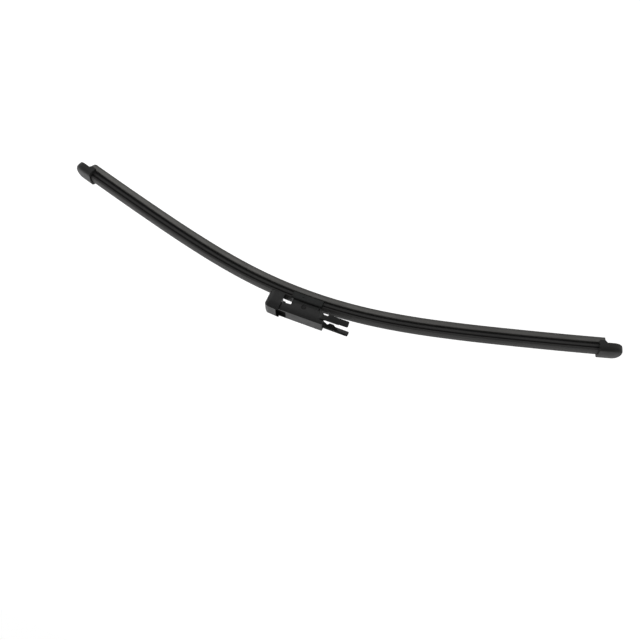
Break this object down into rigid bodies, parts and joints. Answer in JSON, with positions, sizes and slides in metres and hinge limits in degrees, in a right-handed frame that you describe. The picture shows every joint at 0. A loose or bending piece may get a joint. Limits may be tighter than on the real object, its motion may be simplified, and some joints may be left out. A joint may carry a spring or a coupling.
{
  "type": "rear flat wiper blade",
  "caption": "Curved flat wiper blade with a rubber lip, spring rails, back strips, end caps and a rocking forked arm adapter on a cross pin.",
  "frame": {"origin": "on the adapter's outer face, straight above the cross pin, where the wiper arm seats", "axes": "+X along the blade towards the fork, +Y across the blade, +Z away from the glass"},
  "size_m": [0.3907, 0.016, 0.0629],
  "materials": {
    "rubber": "matte black rubber with a fine dry coating on the lip",
    "rail_steel": "black coated spring steel",
    "back_strip": "matte black flexible moulding",
    "cap_plastic": "fine grained black plastic",
    "clamp_plastic": "satin black plastic",
    "pin_steel": "black coated steel",
    "adapter_plastic": "fine grained black plastic"
  },
  "bodies": {
    "adapter": {"arm_adapter": "adapter_plastic"},
    "blade": {"wiping_rubber": "rubber", "rail_near": "rail_steel", "rail_far": "rail_steel", "back_strip_left": "back_strip", "back_strip_right": "back_strip", "end_cap_left": "cap_plastic", "end_cap_right": "cap_plastic", "rail_clamp": "clamp_plastic", "cross_pin": "pin_steel"}
  },
  "joints": [
    {"name": "blade_rock", "type": "hinge", "parent": "adapter", "child": "blade", "pos_m": [0, 0, -0.00715], "axis": [0, -1, 0], "range_deg": [-1, 8]}
  ]
}
